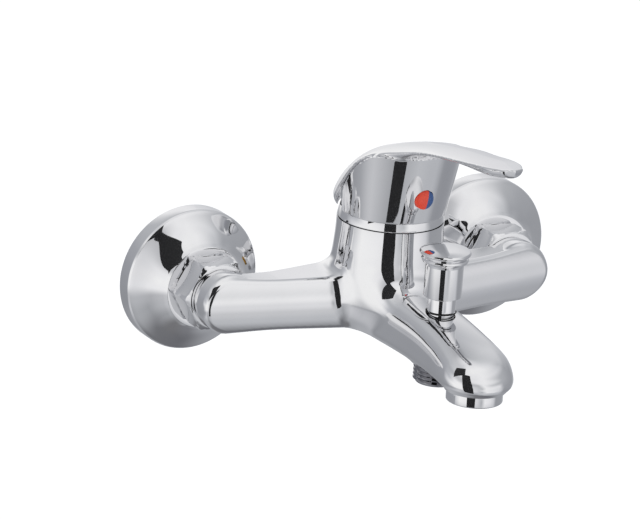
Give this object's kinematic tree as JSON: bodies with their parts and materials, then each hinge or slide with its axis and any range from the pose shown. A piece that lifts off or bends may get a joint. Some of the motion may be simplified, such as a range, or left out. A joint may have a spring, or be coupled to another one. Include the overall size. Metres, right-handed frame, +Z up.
{
  "type": "wall mounted bath faucet",
  "caption": "Single-lever wall bath mixer in chromed brass with eccentric wall unions, an aerated spout and a pull-up diverter to a hand-shower outlet.",
  "frame": {"origin": "on the wall plane, midway between the two inlet axes and at their height", "axes": "+Y into the wall, +X to the right for a user who faces the wall, +Z up"},
  "size_m": [0.2156, 0.1694, 0.123],
  "materials": {
    "chrome": "mirror-polished chrome plate",
    "brass": "machined brass",
    "steel": "bright stainless steel",
    "rubber": "black moulded rubber",
    "ceramic": "lapped white alumina ceramic",
    "white_plastic": "moulded white plastic",
    "grey_plastic": "moulded grey plastic",
    "index_plastic": "printed glossy plastic, half red and half blue"
  },
  "bodies": {
    "faucet": {"faucet_body": "chrome", "left_escutcheon": "chrome", "right_escutcheon": "chrome", "left_union_nut": "chrome", "right_union_nut": "chrome", "left_inlet_sleeve": "brass", "right_inlet_sleeve": "brass", "left_inlet_washer": "rubber", "right_inlet_washer": "rubber", "left_eccentric_union": "brass", "right_eccentric_union": "brass", "cartridge_base": "grey_plastic", "hot_inlet_seal": "rubber", "cold_inlet_seal": "rubber", "outlet_seal": "rubber", "cartridge_housing": "white_plastic", "fixed_ceramic_disc": "ceramic", "cartridge_retaining_nut": "brass", "cover_ring": "chrome", "diverter_bonnet": "chrome", "bonnet_o_ring": "rubber", "shower_outlet_nipple": "chrome", "aerator_housing": "chrome", "aerator_insert": "grey_plastic", "aerator_washer": "rubber"},
    "temperature_rotor": {"cartridge_rotor": "grey_plastic", "spindle_pivot_pin": "steel"},
    "lever": {"handle": "chrome", "cartridge_spindle": "brass", "handle_set_screw": "steel", "temperature_index": "index_plastic"},
    "disc_slider": {"disc_carrier": "white_plastic", "moving_ceramic_disc": "ceramic"},
    "diverter": {"diverter_knob": "chrome", "diverter_rod": "brass", "diverter_valve_disc": "rubber", "diverter_spring": "steel"}
  },
  "joints": [
    {"name": "temperature_turn", "type": "hinge", "parent": "faucet", "child": "temperature_rotor", "pos_m": [0, -0.0513, 0.033], "axis": [0, 0, 1], "range_deg": [-50, 50]},
    {"name": "handle_lift", "type": "hinge", "parent": "temperature_rotor", "child": "lever", "pos_m": [0, -0.0513, 0.033], "axis": [-1, 0, 0], "range_deg": [0, 22]},
    {"name": "disc_slide", "type": "slide", "parent": "temperature_rotor", "child": "disc_slider", "axis": [0, -1, 0], "range_m": [0, 0.0034]},
    {"name": "diverter_pull", "type": "slide", "parent": "faucet", "child": "diverter", "axis": [0, 0, 1], "range_m": [0, 0.0065], "stiffness_N_per_m": 300, "springref_m": -0.006, "deforming": ["diverter_spring"]}
  ],
  "couplings": [
    {"joint": "disc_slide", "follows": "handle_lift", "m_per_rad": 0.0082}
  ]
}
